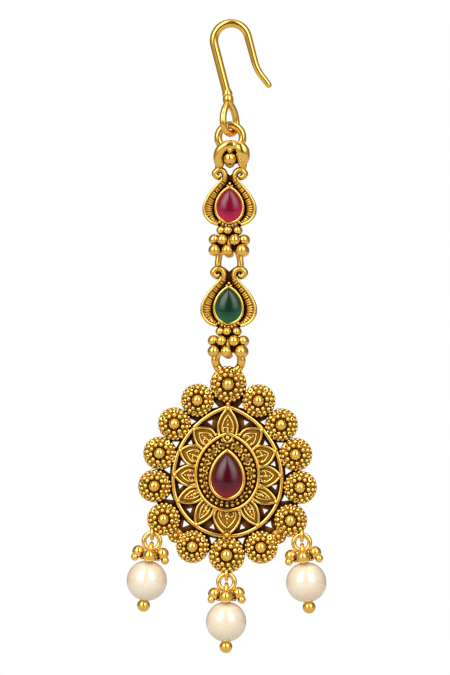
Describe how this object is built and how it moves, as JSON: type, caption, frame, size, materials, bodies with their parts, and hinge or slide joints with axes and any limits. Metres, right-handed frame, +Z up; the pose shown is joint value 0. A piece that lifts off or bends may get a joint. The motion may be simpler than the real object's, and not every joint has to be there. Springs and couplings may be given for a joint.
{
  "type": "maang tikka",
  "caption": "Forehead jewel that hangs from a hair hook: two cabochon scroll links and a pierced pear medallion with pearl drops.",
  "frame": {"origin": "inside top of the hook's crown, where the jewel hangs", "axes": "+Z up along the hanging chain, -Y towards the viewer, +X to the viewer's right"},
  "size_m": [0.032, 0.0062, 0.1014],
  "materials": {
    "polished_gold": "polished gold plate",
    "antique_gold": "antique gold plate, darkened in its recesses",
    "red_stone": "polished crimson cabochon",
    "green_stone": "polished green cabochon",
    "pearl": "cream pearl"
  },
  "bodies": {
    "chain": {"hair_hook": "polished_gold", "hook_jump_ring": "polished_gold", "ruby_link_setting": "antique_gold", "ruby_link_stone": "red_stone", "emerald_link_setting": "antique_gold", "emerald_link_stone": "green_stone"},
    "pendant": {"medallion_frame": "antique_gold", "medallion_stone": "red_stone", "left_drop_ring": "polished_gold", "left_drop_pin": "polished_gold", "left_drop_cap": "polished_gold", "left_drop_pearl": "pearl", "middle_drop_ring": "polished_gold", "middle_drop_pin": "polished_gold", "middle_drop_cap": "polished_gold", "middle_drop_pearl": "pearl", "right_drop_ring": "polished_gold", "right_drop_pin": "polished_gold", "right_drop_cap": "polished_gold", "right_drop_pearl": "pearl"}
  },
  "joints": [
    {"name": "pendant_swing", "type": "hinge", "parent": "chain", "child": "pendant", "pos_m": [0, 0, -0.05116], "axis": [1, 0, 0], "range_deg": [-15, 15]}
  ]
}
